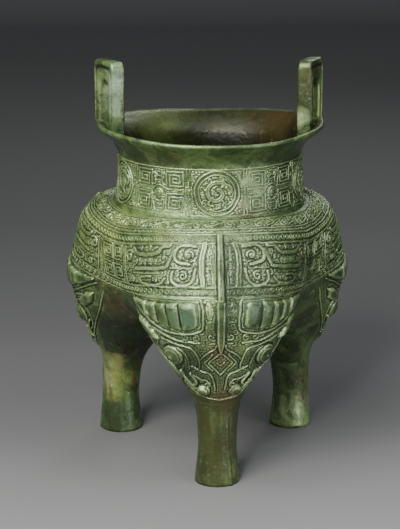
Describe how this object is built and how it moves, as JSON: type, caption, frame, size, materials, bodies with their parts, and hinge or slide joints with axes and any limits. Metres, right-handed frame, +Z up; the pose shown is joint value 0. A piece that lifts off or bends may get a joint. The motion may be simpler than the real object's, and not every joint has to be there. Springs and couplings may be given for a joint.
{
  "type": "li tripod vessel",
  "caption": "Hollow cast bronze cooking vessel with a lobed body on solid legs, flared rim, upright loop handles and mask and dragon relief.",
  "frame": {"origin": "on the floor plane under the feet, below the middle of the outline", "axes": "+Z up through the mouth; one lobe and its leg face -Y, the two handles stand at -X and +X"},
  "size_m": [0.2058, 0.1931, 0.28],
  "materials": {
    "bronze": "patinated cast bronze, semi-gloss, with green, olive and brown patches"
  },
  "bodies": {
    "root": {"vessel": "bronze"}
  },
  "joints": []
}
